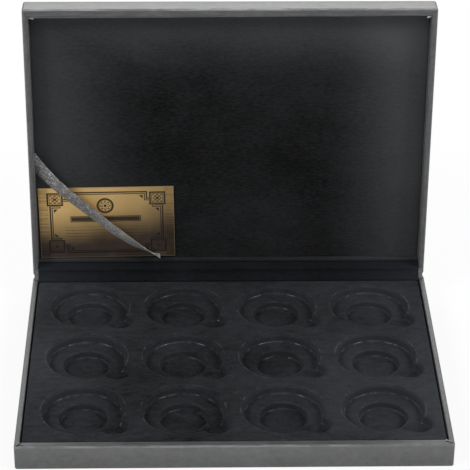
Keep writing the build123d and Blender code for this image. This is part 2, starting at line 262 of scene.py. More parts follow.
def edit_faces(piece, chosen):
    """Enters edit mode with the faces selected that chosen() picks by centre and normal."""
    pick(piece, "EDIT")
    bpy.ops.mesh.select_mode(type="FACE")
    bpy.ops.mesh.select_all(action="DESELECT")
    bpy.ops.object.mode_set(mode="OBJECT")
    for face in piece.data.polygons:
        face.select = chosen(face.center, face.normal)
    bpy.ops.object.mode_set(mode="EDIT")


def edit_edges(piece, chosen):
    """Enters edit mode with the edges selected that chosen() picks by their two ends."""
    pick(piece, "EDIT")
    bpy.ops.mesh.select_mode(type="EDGE")
    bpy.ops.mesh.select_all(action="DESELECT")
    bpy.ops.object.mode_set(mode="OBJECT")
    points = piece.data.vertices
    for edge in piece.data.edges:
        edge.select = chosen(*(points[i].co for i in edge.vertices))
    bpy.ops.object.mode_set(mode="EDIT")


def settle(piece, name):
    """Leaves edit mode, puts the piece's place in its mesh and names it."""
    if piece.mode != "OBJECT":
        bpy.ops.object.mode_set(mode="OBJECT")
    pick(piece)
    bpy.ops.object.transform_apply(location=True, rotation=True, scale=True)
    piece.name = piece.data.name = name
    return piece


def finish_with(piece, kind, **settings):
    """Adds a modifier and applies it."""
    pick(piece)
    modifier = piece.modifiers.new(kind.lower(), kind)
    for name, value in settings.items():
        setattr(modifier, name, value)
    bpy.ops.object.modifier_apply(modifier=modifier.name)


def bevel_edges(piece, chosen, offset, segments):
    """Rounds the edges that chosen() picks by their two ends."""
    edit_edges(piece, chosen)
    bpy.ops.mesh.bevel(offset=offset, segments=segments, affect="EDGES")
    bpy.ops.object.mode_set(mode="OBJECT")


def cut_away(piece, point, normal):
    """Cuts a piece by a plane and drops what lies on the side that the normal points to."""
    pick(piece, "EDIT")
    bpy.ops.mesh.select_all(action="SELECT")
    bpy.ops.mesh.bisect(plane_co=point, plane_no=normal, clear_outer=True, threshold=1e-7)
    bpy.ops.object.mode_set(mode="OBJECT")


def turn_out(piece):
    """Makes every face of a closed piece point outwards."""
    pick(piece, "EDIT")
    bpy.ops.mesh.select_all(action="SELECT")
    bpy.ops.mesh.normals_make_consistent(inside=False)
    bpy.ops.object.mode_set(mode="OBJECT")


def smooth(piece, degrees):
    """Shades a piece smooth, except over edges sharper than the given angle."""
    pick(piece)
    bpy.ops.object.shade_smooth_by_angle(angle=math.radians(degrees))


def join_up(name, parts):
    """Joins parts into the first of them and names it."""
    pick(parts[0])
    for part in parts[1:]:
        part.select_set(True)
    bpy.ops.object.join()
    parts[0].name = name
    return parts[0]


def mould_plug(x, y, radius, floor, brim, lip, cove, rise, rings=6):
    """The part of the mould that draws one hollow: a round plug with a coved foot, cove wide and
    rise high, and a flared brim."""
    bpy.ops.mesh.primitive_circle_add(
        vertices=max(64, int(radius / mm) * 8), radius=radius - cove, fill_type="NGON",
        location=(x, y, floor))
    plug = settle(bpy.context.object, "plug")
    profile = [
        (radius - cove + cove * math.sin(a), floor + rise * (1 - math.cos(a)))
        for a in (math.pi / 2 * i / rings for i in range(1, rings + 1))
    ] + [
        (radius + lip * (1 - math.cos(a)), brim - lip + lip * math.sin(a))
        for a in (math.pi / 2 * i / rings for i in range(rings + 1))
    ] + [(radius + lip, brim + 3 * mm)]
    pick(plug, "EDIT")
    bpy.ops.mesh.select_all(action="SELECT")
    at_radius, at_height = radius - cove, floor
    for to_radius, to_height in profile:
        bpy.ops.mesh.extrude_region_move(TRANSFORM_OT_translate={"value": (0, 0, to_height - at_height)})
        scale = to_radius / at_radius
        bpy.ops.transform.resize(value=(scale, scale, 1), center_override=(x, y, to_height))
        at_radius, at_height = to_radius, to_height
    turn_out(plug)
    return plug


blank_radius, brim_cut = 36 * mm, 0.03 * mm
bpy.ops.mesh.primitive_cylinder_add(
    vertices=96, radius=blank_radius, depth=tray_top - tray_low.z + 2 * mm,
    location=(0, 0, (tray_top + tray_low.z) / 2 - 1 * mm))
seat = settle(bpy.context.object, "coin_seat")
notch_x, notch_y = notch_centre * math.cos(notch_angle), notch_centre * math.sin(notch_angle)
for plug in (
    mould_plug(0, 0, seat_radius, ledge_z, tray_top, seat_lip, 1.0 * mm, 1.0 * mm),
    mould_plug(notch_x, notch_y, notch_radius, notch_floor, tray_top, seat_lip, 5.0 * mm, 3.2 * mm),
    mould_plug(0, 0, well_radius, well_floor, ledge_z, well_lip, 1.0 * mm, 1.0 * mm),
):
    finish_with(seat, "BOOLEAN", operation="DIFFERENCE", object=plug, solver="EXACT")
    bpy.data.objects.remove(plug)
finish_with(seat, "REMESH", mode="VOXEL", voxel_size=0.4 * mm)
finish_with(seat, "SMOOTH", factor=0.5, iterations=4)
edit_faces(seat, lambda c, n: math.hypot(c.x, c.y) > blank_radius - 1.4 * mm or c.z < tray_low.z)
bpy.ops.mesh.delete(type="FACE")
bpy.ops.object.mode_set(mode="OBJECT")
finish_with(seat, "DECIMATE", ratio=0.085)
cut_away(seat, (0, 0, tray_top - brim_cut), (0, 0, 1))
for point in seat.data.vertices:
    if point.co.z > tray_top - 1.1 * brim_cut:
        point.co.z = tray_top

# the flat top and the skirt that stands on the base's board
bpy.ops.mesh.primitive_cube_add(size=1, location=(tray_low + tray_high) / 2)
tray = bpy.context.object
tray.scale = tray_high - tray_low
tray = settle(tray, "coin_tray_flocked")
bevel_edges(tray, lambda a, b: abs(a.z - b.z) > 1 * mm, 2.2 * mm, 6)
bevel_edges(tray, lambda a, b: min(a.z, b.z) > tray_top - 0.1 * mm, 1.2 * mm, 5)
edit_faces(tray, lambda c, n: abs(n.z) > 0.99)
bpy.ops.mesh.delete(type="FACE")
bpy.ops.object.mode_set(mode="OBJECT")
seats = []
for row in range(3):
    for column in range(4):
        copy = seat.copy()
        copy.data = seat.data.copy()
        bpy.context.collection.objects.link(copy)
        centre = ((column - 1.5) * column_pitch, seat_middle_y + (row - 1) * row_pitch, 0)
        copy.data.transform(Matrix.Translation(centre))
        seats.append(copy)
bpy.data.objects.remove(seat)
join_up("coin_tray_flocked", [tray] + seats)
edit_edges(tray, lambda a, b: False)
bpy.ops.mesh.select_non_manifold(extend=False, use_wire=False, use_boundary=True,
                                 use_multi_face=False, use_non_contiguous=False, use_verts=False)
bpy.ops.object.mode_set(mode="OBJECT")
for edge in tray.data.edges:
    ends = [tray.data.vertices[i].co.z for i in edge.vertices]
    edge.select = edge.select and min(ends) > tray_top - 0.01 * mm
bpy.ops.object.mode_set(mode="EDIT")
bpy.ops.mesh.fill(use_beauty=True)
bpy.ops.mesh.select_all(action="SELECT")
bpy.ops.mesh.remove_doubles(threshold=0.002 * mm)
turn_out(tray)
finish_with(tray, "SOLIDIFY", thickness=sheet_thickness, offset=-1.0, use_rim=True)
pick(tray)
bpy.ops.object.shade_smooth()
finish_with(tray, "WEIGHTED_NORMAL", mode="FACE_AREA", weight=100)

flock = Finish("flock_black", specular_ior_level=0.12, sheen_weight=0.03, sheen_roughness=0.5,
               coat_roughness=0.24)
nap_point = flock.place()
nap_x, nap_y, nap_z = flock.axes(nap_point)
pile = flock.noise(nap_point, 1.3 * mm, 5.0, 0.85)
brushed = flock.noise(flock.stretched(nap_point, (0.4, 1.0, 1.0)), 3.2 * mm, 4.0, 0.75)
drift = flock.noise(nap_point, 45 * mm, 2.0)
lint = flock.cells(nap_point, 26 * mm).ramp(0.011, 0.007) * flock.noise(nap_point, 0.6 * mm).ramp(0.45, 0.55)
# the flock lies thin in the bottom corners and on the lips of the hollows, where the sheet was
# drawn hardest: it has a glossy coat in the corners, and corners and lips get pale lines that are
# partly thin flock and partly painted highlight; the walls are painted paler as painted light
seat_x = (nap_x - column_pitch / 2).within(column_pitch / 2)
seat_y = (nap_y - seat_middle_y).within(row_pitch / 2)
spread = (seat_x * seat_x + seat_y * seat_y).root()


def ring_band(radius, height, wide, high, core=0.3 * mm):
    """1 on a ring round each seat, falling to 0 at wide from its radius and at high from its height."""
    return abs(spread - radius).ramp(wide, core) * abs(nap_z - height).ramp(high, high - 0.4 * mm)


ledge_corner = ring_band(seat_radius - 0.5 * mm, ledge_z + 0.3 * mm, 0.7 * mm, 0.8 * mm)
well_corner = ring_band(well_radius - 0.45 * mm, well_floor + 0.3 * mm, 0.7 * mm, 0.8 * mm)
# painted highlight, partly thin flock: thin pale lines on the lips of the wells and seats, stronger at the
# seats' sides
well_brim = ring_band(well_radius + 0.4 * mm, ledge_z, 0.7 * mm, 0.6 * mm, 0.2 * mm)
seat_brim = abs(spread - seat_radius - 1.4 * mm).ramp(0.7 * mm, 0.2 * mm) * nap_z.ramp(
    tray_top - 1.6 * mm, tray_top - 0.8 * mm)
side_brim = seat_brim * (0.03 + 0.05 * abs(seat_x).ramp(16 * mm, 23 * mm))
wear_and_highlight_patches = flock.noise(nap_point, 6 * mm, 3.0, 0.7).ramp(0.44, 0.62)
thin = ledge_corner.most(well_corner * 0.7) * wear_and_highlight_patches
# the lint specks are real; the other pale marks here are painted highlights on the corners and lips
lint_and_highlights = lint.most(thin * 0.03).most(side_brim * wear_and_highlight_patches).most(well_brim * wear_and_highlight_patches * 0.035)
# painted shade: the wells are painted a little darker
in_well = nap_z.ramp(ledge_z - 0.4 * mm, ledge_z - 1.4 * mm)
# painted light: the walls of the hollows are painted paler
facing = flock.node("ShaderNodeNewGeometry", {}, {}, "Normal")
wall = abs(flock.axes(facing)[2]).ramp(0.85, 0.25)
# painted sheen: the flock is painted paler towards both sides of the tray
painted_side_sheen = abs(nap_x + 20 * mm).ramp(25 * mm, 135 * mm)
lay = 1.2 * (pile - 0.5) + 0.9 * (brushed - 0.5) + 0.9 * (drift - 0.5)
nap_tone = lay + 0.42 + 0.3 * painted_side_sheen + 0.3 * wall - 0.07 * in_well
nap = flock.mix(nap_tone, grey(0.002, -0.25), grey(0.044, -0.13))
tray.data.materials.append(flock.feed(
    base_color=flock.mix(lint_and_highlights, nap, grey(0.4, -0.03)),
    roughness=0.97 - 0.3 * thin,
    coat_weight=thin * 0.6,
    normal=flock.bump(0.6 * pile + 0.4 * brushed, 0.3 * mm),
))
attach(tray, "case_base")
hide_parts("coin_tray")

# ---- hinges ------------------------------------------------------------------------------------
# Two small butt hinges of plated steel let into the back rims, with two countersunk screws in
# each leaf. The cloth hides them from inside, and only the knuckles show behind.
steel = Finish("hinge_steel", metallic=1.0)
steel_point = steel.place()
drawn = steel.noise(steel.stretched(steel_point, (0.06, 1.0, 1.0)), 0.25 * mm, 4.0, 0.6)
dull = steel.noise(steel_point, 3 * mm, 3.0)
cover(
    [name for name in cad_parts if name.startswith("hinge_") and name != "hinge_lining"],
    steel.feed(
        base_color=steel.mix(0.5 * drawn + 0.5 * dull, grey(0.42), grey(0.6, 0.02)),
        roughness=0.24 + 0.25 * drawn,
        normal=steel.bump(drawn, 0.02 * mm),
    ),
)

# ---- lid ---------------------------------------------------------------------------------------
# The same greyboard and leatherette as the base, made as a shallower box and stood open on its
# hinges. Its pieces are modelled as if it lay shut, and swung back about the hinge line.
hinge_y, hinge_z, open_angle = 91.75 * mm, 16.0 * mm, math.radians(91.8)
hinge_line = Vector((0, hinge_y, hinge_z))
swing = (Matrix.Translation(hinge_line) @ Matrix.Rotation(-open_angle, 4, "X")
         @ Matrix.Translation(-hinge_line))
lid_rim_z = hinge_z + 0.4 * mm


def swing_open(piece):
    """Carries a finished mesh from the shut lid to the open one."""
    piece.data.transform(swing)


shut_origin = swing @ Vector((0, 0, 0))
lid_leatherette = leatherette("leatherette_lid", -open_angle, shut_origin, lid_rim_z, 0.9)
cover(["lid_wrap"], lid_leatherette)
inner_half_width, inner_half_depth, end_wall = 121.9 * mm, 87.05 * mm, 4.7 * mm
cavity_depth = 9.8 * mm


def rounded(points, radii, step):
    """Points along straight runs with arcs at their corners, about step apart."""
    path = [Vector(points[0])]
    for before, corner, after, radius in zip(points, points[1:], points[2:], radii):
        before, corner, after = Vector(before), Vector(corner), Vector(after)
        inward, outward = (corner - before).normalized(), (after - corner).normalized()
        turn = inward.angle_signed(outward)
        reach = radius * math.tan(abs(turn) / 2)
        start = corner - inward * reach
        side = Vector((-inward.y, inward.x)) * (-1 if turn > 0 else 1)
        centre = start + side * radius
        count = max(3, int(radius * abs(turn) / step))
        for i in range(count + 1):
            path.append(centre + Matrix.Rotation(-turn * i / count, 2) @ (start - centre))
    path.append(Vector(points[-1]))
    even = [path[0]]
    for a, b in zip(path, path[1:]):
        pieces = max(1, math.ceil((b - a).length / step))
        even += [a.lerp(b, i / pieces) for i in range(1, pieces + 1)]
    return even


# the paper's edge, turned in over the rim and glued down inside three of the walls
turn_path = rounded(
    [(inner_half_width, hinge_y - 9.4 * mm), (inner_half_width, -inner_half_depth),
     (-inner_half_width, -inner_half_depth), (-inner_half_width, hinge_y - 9.4 * mm)],
    [0.5 * mm, 0.5 * mm], 3 * mm)
bpy.ops.mesh.primitive_grid_add(x_subdivisions=len(turn_path) - 1, y_subdivisions=8, size=1)
turn_in = settle(bpy.context.object, "lid_turned_edge")
for point in turn_in.data.vertices:
    x, y = turn_path[round((point.co.x + 0.5) * (len(turn_path) - 1))]
    point.co = (x, y, lid_rim_z + 0.05 * mm + (point.co.y + 0.5) * (cavity_depth - 0.2 * mm))
edit_faces(turn_in, lambda c, n: True)
bpy.ops.mesh.extrude_region_move(TRANSFORM_OT_translate={"value": (0, 0, 0)})
bpy.ops.object.mode_set(mode="OBJECT")
for point in turn_in.data.vertices:
    if point.select:
        ripple = 0.06 * mm * math.sin(point.co.x / (9 * mm)) * math.sin(point.co.y / (7 * mm) + 2)
        if abs(point.co.x) > inner_half_width - 0.1 * mm:
            point.co.x -= math.copysign(0.5 * mm + ripple, point.co.x)
        if point.co.y < -inner_half_depth + 0.1 * mm:
            point.co.y += 0.5 * mm - 0.0043 * point.co.x + ripple
turn_out(turn_in)
smooth(turn_in, 30)
swing_open(turn_in)
turn_in.data.materials.append(lid_leatherette)
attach(turn_in, "lid")

# ---- corner folds -------------------------------------------------------------------------------
# The covering paper is pleated across each corner of both rims. Two of the lid's pleats and one of
# the base's stand a little off and show the paper's pale back. Thin near-black strips beside the
# base's pleats are painted shade in the open mitres.
back_of_paper = Finish("paper_back", roughness=0.8, specular_ior_level=0.3)
paper_point = back_of_paper.place()
paper_fibre = back_of_paper.noise(paper_point, 0.5 * mm, 4.0, 0.7)
pale_paper = back_of_paper.feed(base_color=back_of_paper.mix(paper_fibre, grey(0.2), grey(0.6)))
# painted shade: a near-black patch that stands for the shade in an open mitre
slit = Finish("open_mitre_shade", roughness=0.9, specular_ior_level=0.1)
mitre_slit_shade = slit.feed(base_color=slit.mix(slit.noise(slit.place(), 0.6 * mm), grey(0.004), grey(0.02)))


fold_thickness = 0.16 * mm


def pleat(x, y, length, width, turn, height, lift, material):
    """A thin patch of folded paper on a rim, in mm, turned by degrees. lift is how far its inner
    end stands off."""
    bpy.ops.mesh.primitive_cube_add(size=1)
    patch = bpy.context.object
    patch.scale = (length * mm, width * mm, fold_thickness)
    patch = settle(patch, "pleat")
    bevel_edges(patch, lambda a, b: True, 0.3 * fold_thickness, 2)
    for point in patch.data.vertices:
        along = point.co.x / (length * mm)
        point.co.y *= 0.75 + 0.5 * along
        point.co.z += lift * mm * (0.5 + along)
    place = Matrix.Translation((x * mm, y * mm, height)) @ Matrix.Rotation(math.radians(turn), 4, "Z")
    patch.data.transform(place)
    patch.data.materials.append(material)
    smooth(patch, 40)
    return patch


def gather(name, patches, body):
    """Joins patches into one piece that rides on a body."""
    folds = join_up(name, patches)
    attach(folds, body)
    return folds


base_top_z, lid_face_z = base_rim_z + 0.04 * mm, lid_rim_z - 0.04 * mm
gather("base_corner_folds", [
    pleat(-122.9, -89.2, 4.8, 1.2, 47, base_top_z, 0.1, base_leatherette),
    pleat(-122.3, -89.6, 4.2, 0.35, 52, base_top_z + 0.05 * mm, 0.0, mitre_slit_shade),
    pleat(-121.4, -90.2, 3.6, 0.3, 8, base_top_z + 0.05 * mm, 0.0, mitre_slit_shade),
    pleat(122.5, -89.3, 4.8, 1.4, 146, base_top_z, 0.35, base_leatherette),
    pleat(121.3, -88.3, 3.2, 0.8, 152, base_top_z + 0.1 * mm, 0.3, pale_paper),
    pleat(122.5, -89.7, 3.4, 0.6, 146, base_top_z + 0.12 * mm, 0.0, mitre_slit_shade),
], "case_base")
swing_open(gather("lid_corner_folds", [
    pleat(-122.9, -89.2, 4.8, 1.2, 48, lid_face_z, -0.12, lid_leatherette),
    pleat(122.9, -89.2, 4.8, 1.2, 132, lid_face_z, -0.12, lid_leatherette),
    pleat(-119.8, -85.8, 3.6, 1.0, 6, lid_rim_z + 0.5 * mm, -0.1, pale_paper),
    pleat(119.8, -86.2, 2.6, 1.2, 168, lid_rim_z + 0.5 * mm, -0.1, pale_paper),
], "lid"))

# ---- lid lining --------------------------------------------------------------------------------
# Black velvet over a thin pad, stretched on a stiffener and glued inside the lid. Its pile is
# brushed about by hand, so it lies darker and paler in wide soft patches. It is also painted paler
# towards both sides and the free edge, as painted sheen and light.
pad_thickness, lining_gap = 0.8 * mm, 0.3 * mm


def thicken(piece, way):
    """Draws an open sheet out into a closed slab."""
    edit_faces(piece, lambda c, n: True)
    bpy.ops.mesh.extrude_region_move(TRANSFORM_OT_translate={"value": way})
    turn_out(piece)


def velvet(name, turn, centre, dark, pale, painted_sheen):
    """Velvet with a fine soft pile. Its last argument gives where, from 0 to 1, it is painted paler, as
    painted sheen and light.
    """
    cloth = Finish(name, roughness=0.95, specular_ior_level=0.08, sheen_weight=0.02, sheen_roughness=0.5)
    point = cloth.place(turn, centre)
    tuft = cloth.noise(point, 0.4 * mm, 4.0, 0.7)
    stroke = cloth.noise(cloth.stretched(point, (0.5, 1.0, 1.0)), 11 * mm, 5.0, 0.66)
    grain = cloth.noise(cloth.stretched(point, (0.3, 1.0, 1.0)), 1.1 * mm, 3.0, 0.75)
    patch = cloth.noise(point, 70 * mm, 2.0)
    lay = 0.3 * tuft + 0.25 * stroke + 0.45 * patch - 0.5 + 0.65 * (grain - 0.5)
    tone = 0.8 * lay + 0.1 + painted_sheen(*cloth.axes(point))
    return cloth.feed(
        base_color=cloth.mix(tone, dark, pale),
        normal=cloth.bump(0.8 * tuft + 0.2 * stroke, 0.16 * mm),
    )


def lid_painted_sheen(x, y, z):
    """Painted sheen and light: pale towards both sides and the free edge, dark at the middle of the hinge
    side.
    """
    leftward = x.ramp(-40 * mm, -130 * mm, 0.0, 0.6)
    rightward = x.ramp(58 * mm, 132 * mm, 0.0, 0.76)
    upward = y.ramp(hinge_y - 128 * mm, hinge_y - 190 * mm, 0.0, 0.74)
    return rightward + leftward.most(upward)


lid_velvet = velvet("velvet_black", -open_angle, shut_origin,
                    grey(0.0045, -0.07), grey(0.072, -0.05), lid_painted_sheen)
pad_face = lid_rim_z + cavity_depth
pad_half_width, pad_half_depth = inner_half_width - lining_gap, inner_half_depth - lining_gap
nearly = 0.01 * mm
bpy.ops.mesh.primitive_grid_add(x_subdivisions=160, y_subdivisions=116, size=1, location=(0, 0, pad_face))
pad = bpy.context.object
pad.scale = (2 * pad_half_width, 2 * pad_half_depth, 1)
pad = settle(pad, "lid_velvet_pad")
thicken(pad, (0, 0, pad_thickness))
bevel_edges(pad, lambda a, b: max(a.z, b.z) < pad_face + nearly and (
    min(abs(a.x), abs(b.x)) > pad_half_width - nearly
    or min(abs(a.y), abs(b.y)) > pad_half_depth - nearly), 0.6 * mm, 4)
for point in pad.data.vertices:
    edge = min(pad_half_width - abs(point.co.x), pad_half_depth - abs(point.co.y))
    if point.co.z < pad_face + 0.7 * mm:
        roll = max(0.0, 1 - edge / (6 * mm)) ** 2
        swell = 0.5 + 0.25 * math.sin(point.co.x / (31 * mm)) + 0.25 * math.sin(point.co.y / (23 * mm) + 1.0)
        point.co.z += (0.3 * roll + 0.12 * swell) * mm
smooth(pad, 50)
swing_open(pad)
pad.data.materials.append(lid_velvet)
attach(pad, "lid")
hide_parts("lid_lining_pad")

# ---- card ledge --------------------------------------------------------------------------------
# The same velvet turned over a narrow strip, glued along the hinge side of the lining.
# The card stands on it, and the ribbon's lower end is tucked behind it.
ledge_foot, ledge_height, ledge_thickness = 5.2 * mm, 2.8 * mm, 2.3 * mm
bpy.ops.mesh.primitive_grid_add(x_subdivisions=240, y_subdivisions=1, size=1)
ledge = bpy.context.object
ledge.scale = (2 * pad_half_width, ledge_thickness, 1)
ledge = settle(ledge, "card_ledge_roll")
ledge.data.transform(Matrix.Rotation(math.pi / 2, 4, "X"))
ledge.data.transform(Matrix.Translation((0, hinge_y - ledge_foot, pad_face - ledge_thickness / 2)))
thicken(ledge, (0, -ledge_height, 0))
bevel_edges(ledge, lambda a, b: abs(a.x - b.x) > 0.2 * mm
            and max(a.z, b.z) < pad_face - ledge_thickness + nearly, 0.9 * mm, 5)
for point in ledge.data.vertices:
    up = (hinge_y - point.co.y - ledge_foot) / ledge_height
    out = (pad_face - point.co.z) / ledge_thickness
    wave = 0.5 + 0.5 * math.sin(point.co.x / (17 * mm)) * math.sin(point.co.x / (41 * mm) + 0.7)
    point.co.y += 0.25 * mm * wave * up
    point.co.z += 0.2 * mm * (1 - wave) * out
smooth(ledge, 50)
swing_open(ledge)
# painted sheen: the ledge's velvet is painted paler towards both ends
ledge.data.materials.append(velvet(
    "ledge_velvet", -open_angle, shut_origin, grey(0.006, -0.08), grey(0.06, -0.06),
    lambda x, y, z: abs(x).ramp(30 * mm, 130 * mm, 0.1, 0.6)))
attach(ledge, "lid")
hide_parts("card_ledge")

# ---- hinge cloth -------------------------------------------------------------------------------
# A strip of black cloth along the whole hinge side. It is tucked down behind the tray, bridges
# the gap between the two rims and is glued up into the lid, so it creases where the lid turns.
cloth_half_width, cloth_thickness = 121.7 * mm, 0.3 * mm


def in_lid(height, depth):
    """The y and z of a point of the open lid, by its distances from the hinge edge and the rim."""
    point = swing @ Vector((0, hinge_y - height, lid_rim_z + depth))
    return point.y, point.z


half_cloth = cloth_thickness / 2
glued = 0.1 * mm + half_cloth
low_y, low_z = in_lid(0, -glued)
high_y, high_z = in_lid(end_wall + glued, -glued)
base_top = base_rim_z + half_cloth
corner_y = low_y + (high_y - low_y) * (base_top - low_z) / (high_z - low_z)
cloth_path = rounded(
    [(inner_half_depth - half_cloth, base_rim_z - 6 * mm), (inner_half_depth - half_cloth, base_top),
     (corner_y, base_top), (high_y, high_z), in_lid(end_wall + glued, cavity_depth - glued)],
    [0.5 * mm, 4.0 * mm, 0.6 * mm], 0.45 * mm)
cloth_length = sum((b - a).length for a, b in zip(cloth_path, cloth_path[1:]))
bpy.ops.mesh.primitive_grid_add(x_subdivisions=260, y_subdivisions=len(cloth_path) - 1, size=1)
cloth = settle(bpy.context.object, "hinge_cloth")
for point in cloth.data.vertices:
    y, z = cloth_path[round((point.co.y + 0.5) * (len(cloth_path) - 1))]
    point.co = (point.co.x * 2 * cloth_half_width, y, z)
finish_with(cloth, "SOLIDIFY", thickness=cloth_thickness, offset=0.0)
turn_out(cloth)
smooth(cloth, 50)
# painted sheen: the cloth is painted paler towards both ends
cloth.data.materials.append(velvet(
    "hinge_cloth_black", 0.0, (0, 0, 0), grey(0.004, -0.2), grey(0.036, -0.2),
    lambda x, y, z: abs(x).ramp(50 * mm, 135 * mm, 0.0, 0.45)))
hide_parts("hinge_lining")

# the covering paper runs round the hinge at both ends, where it lies a little crumpled
end_path = rounded(
    [(hinge_y - 4.5 * mm, base_top), (corner_y, base_top), (high_y, high_z)], [4.0 * mm], 0.45 * mm)
end_fold_width = 2.5 * mm
end_folds = []
for side in (-1, 1):
    bpy.ops.mesh.primitive_grid_add(x_subdivisions=8, y_subdivisions=len(end_path) - 1, size=1)
    flap = settle(bpy.context.object, "hinge_end_fold")
    for point in flap.data.vertices:
        step = round((point.co.y + 0.5) * (len(end_path) - 1))
        y, z = end_path[step]
        out = point.co.x * side + 0.5
        crumple = 0.5 + 0.5 * math.sin(step * 0.9 + out * 4)
        swell = 0.315 * mm * math.sin(math.pi * step / (len(end_path) - 1)) * crumple
        point.co = (side * (cloth_half_width - 0.1 * mm + out * end_fold_width), y - swell, z + swell)
    finish_with(flap, "SOLIDIFY", thickness=cloth_thickness, offset=0.0)
    end_folds.append(flap)
hinge_end_folds = join_up("hinge_end_folds", end_folds)
turn_out(hinge_end_folds)
smooth(hinge_end_folds, 50)
hinge_end_folds.data.materials.append(base_leatherette)
for strip in (cloth, hinge_end_folds):
    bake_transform(strip)

# ---- card --------------------------------------------------------------------------------------
# A thin gilt card with a printed border of two lines, stepped round four corner squares, a ring,
# a dark title bar and ruled lines. It stands on the ledge behind the ribbon, a little crooked.
card_half_width, card_half_height = 42.8 * mm, 25.0 * mm
card_tilt = math.radians(0.9)
card_corner = Vector((-119.9 * mm, hinge_y - 8.3 * mm, lid_rim_z + 8.9 * mm))
card_middle = card_corner + Vector((card_half_width - card_half_height * card_tilt,
                                    -card_half_height - card_half_width * card_tilt, 0))
gilt = Finish("gilt_card", specular_ior_level=0.5)
shut = gilt.place(-open_angle, shut_origin)
card_point = gilt.node("ShaderNodeMapping", {"vector_type": "TEXTURE"},
                       {"Vector": shut, "Location": card_middle, "Rotation": (0, 0, -card_tilt)})
across, down, _ = gilt.axes(card_point)
up = down * -1
side, end = abs(across), abs(up)


def line(distance, width):
    """A printed line of the given half width where the distance is nil."""
    return abs(distance).ramp(width + 0.16 * mm, width)


def box(a, b, half_a, half_b):
    """Distance outside a rectangle, negative inside it."""
    return (a - half_a).most(b - half_b)


stepped = box(side, end, 25.6 * mm, 21.5 * mm).least(
    box(side, end, 35.6 * mm, 12.2 * mm)).least(box(side, end, 30.6 * mm, 16.9 * mm))
frame_lines = line(stepped, 0.42 * mm).most(line(stepped + 1.25 * mm, 0.24 * mm))
square_side, square_end = abs(side - 32.4 * mm), abs(end - 16.9 * mm)
square = box(square_side, square_end, 4.6 * mm, 4.1 * mm)
frame_lines = frame_lines * square.ramp(0.5 * mm, 0.9 * mm)
square_lines = line(square, 0.48 * mm).most(line(square + 1.15 * mm, 0.14 * mm))
lattice = line((square_side * 0.9 - square_end).most(square_end - square_side * 0.9), 0.22 * mm)
diamond = square_side + square_end
petals = line(diamond - 2.5 * mm, 0.28 * mm).most(line(diamond - 0.9 * mm, 0.3 * mm))
motif = lattice.most(petals) * square.ramp(-1.1 * mm, -1.4 * mm)


def corner_tab(half_a, half_b):
    """A small filled triangle in the outer corner of a rectangle."""
    in_a, in_b = half_a - side, half_b - end
    return (in_a + in_b).ramp(2.9 * mm, 2.6 * mm) * in_a.least(in_b).ramp(0.0, 0.12 * mm)


corner_tabs = corner_tab(23.4 * mm, 19.3 * mm).most(corner_tab(33.4 * mm, 10.0 * mm))
ring_x, ring_y = across + 0.7 * mm, up - 12.0 * mm
ring = (ring_x * ring_x + ring_y * ring_y).root()
round_ring = ring_y.sum("ARCTAN2", ring_y, ring_x)
scallop = ring.sum("COSINE", round_ring * 8)
rosette = line(ring - 2.4 * mm - scallop * (0.7 * mm), 0.34 * mm).most(line(ring - 0.5 * mm, 0.4 * mm))
medal = line(ring - 4.75 * mm, 0.62 * mm).most(line(ring - 3.6 * mm, 0.14 * mm) * 0.6).most(rosette)
bar = box(abs(across + 0.7 * mm), abs(up - 2.6 * mm), 22.3 * mm, 2.1 * mm)
bar_fill = bar.ramp(0.12 * mm, -0.05 * mm) * (1 - 0.5 * line(bar + 0.6 * mm, 0.08 * mm))
ruled = box(abs(across + 0.5 * mm), abs(up + 7.6 * mm), 26.0 * mm, 4.6 * mm).ramp(0.1 * mm, -0.1 * mm)
rules = line((up + 7.6 * mm).within(1.15 * mm), 0.2 * mm) * ruled
border = frame_lines.most(square_lines).most(motif).most(corner_tabs)
ink = border.most(medal).most(bar_fill).most(rules * 0.45)
rolled = gilt.noise(gilt.stretched(card_point, (0.03, 1.0, 1.0)), 1.1 * mm, 4.0, 0.7)
streak = rolled.ramp(0.38, 0.62) * side.ramp(36.2 * mm, 37.4 * mm)
cloudy = gilt.noise(card_point, 16 * mm, 2.0)
# painted reflection and shade: the foil and ink are painted brighter towards the top and left and darker
# towards the bottom
shade = (up - 0.12 * across).ramp(15 * mm, -16 * mm)
painted_reflection = (1 - shade) * (1 - abs(across + 14 * mm).ramp(8 * mm, 60 * mm, 0.0, 0.5)) + 0.3 * (cloudy - 0.5)
foil = gilt.mix(painted_reflection, (0.1, 0.072, 0.055, 1), (1.0, 0.67, 0.27, 1))
foil = gilt.mix(streak * 0.55, foil, gilt.mix(shade, (0.2, 0.11, 0.035, 1), (0.03, 0.02, 0.012, 1)))
# painted highlight: a pale line round the card's edge
painted_edge_highlight = box(side, end, card_half_width - 0.35 * mm, card_half_height - 0.35 * mm).ramp(
    -0.1 * mm, 0.1 * mm)
foil = gilt.mix(painted_edge_highlight * 0.5, foil, (0.5, 0.4, 0.26, 1))
ink_brown = gilt.mix(shade, (0.022, 0.013, 0.007, 1), (0.006, 0.004, 0.003, 1))
cover(["certificate_card"], gilt.feed(
    base_color=gilt.mix(ink * 0.96, foil, ink_brown),
    metallic=0.6 - 0.5 * ink,
    roughness=0.36 + 0.14 * rolled + 0.2 * ink,
    normal=gilt.bump(rolled * 0.15 - ink * 0.6, 0.08 * mm),
))

# ---- ribbon ------------------------------------------------------------------------------------
# A grey ribbon of coarse glittering weave, stretched across the lid's corner from the left wall to
# the ledge. It turns on edge towards its foot, where it is pinched between the ledge and the card.
ribbon_width, ribbon_thickness = 10 * mm, 0.25 * mm
drawn_width = 9.6 * mm           # across, if it lay flat; its turn draws it in to between 9.2 and 6 mm
